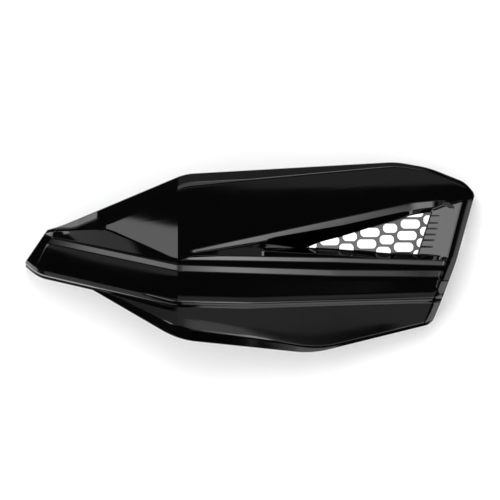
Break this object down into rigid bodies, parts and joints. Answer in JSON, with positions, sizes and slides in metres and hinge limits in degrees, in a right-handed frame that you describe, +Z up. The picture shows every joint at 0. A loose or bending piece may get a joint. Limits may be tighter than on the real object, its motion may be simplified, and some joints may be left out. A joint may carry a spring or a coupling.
{
  "type": "motorcycle hand guard",
  "caption": "Folded gloss black hand guard for a motorcycle's right grip: beaked outer end, raised spine, sunk honeycomb vent, skirt and rear bosses with threaded inserts.",
  "frame": {"origin": "mouth of the outer top threaded insert, on the plane where the guard meets its bracket", "axes": "+X along the handlebar towards the inner end, +Y back towards the rider's hand, +Z up"},
  "size_m": [0.2888, 0.0867, 0.1222],
  "materials": {
    "shield": "gloss black, moulded in colour",
    "insert": "plain turned brass"
  },
  "bodies": {
    "root": {"shield": "shield", "insert_outer_top": "insert", "insert_outer_low": "insert", "insert_inner_top": "insert", "insert_inner_low": "insert"}
  },
  "joints": []
}
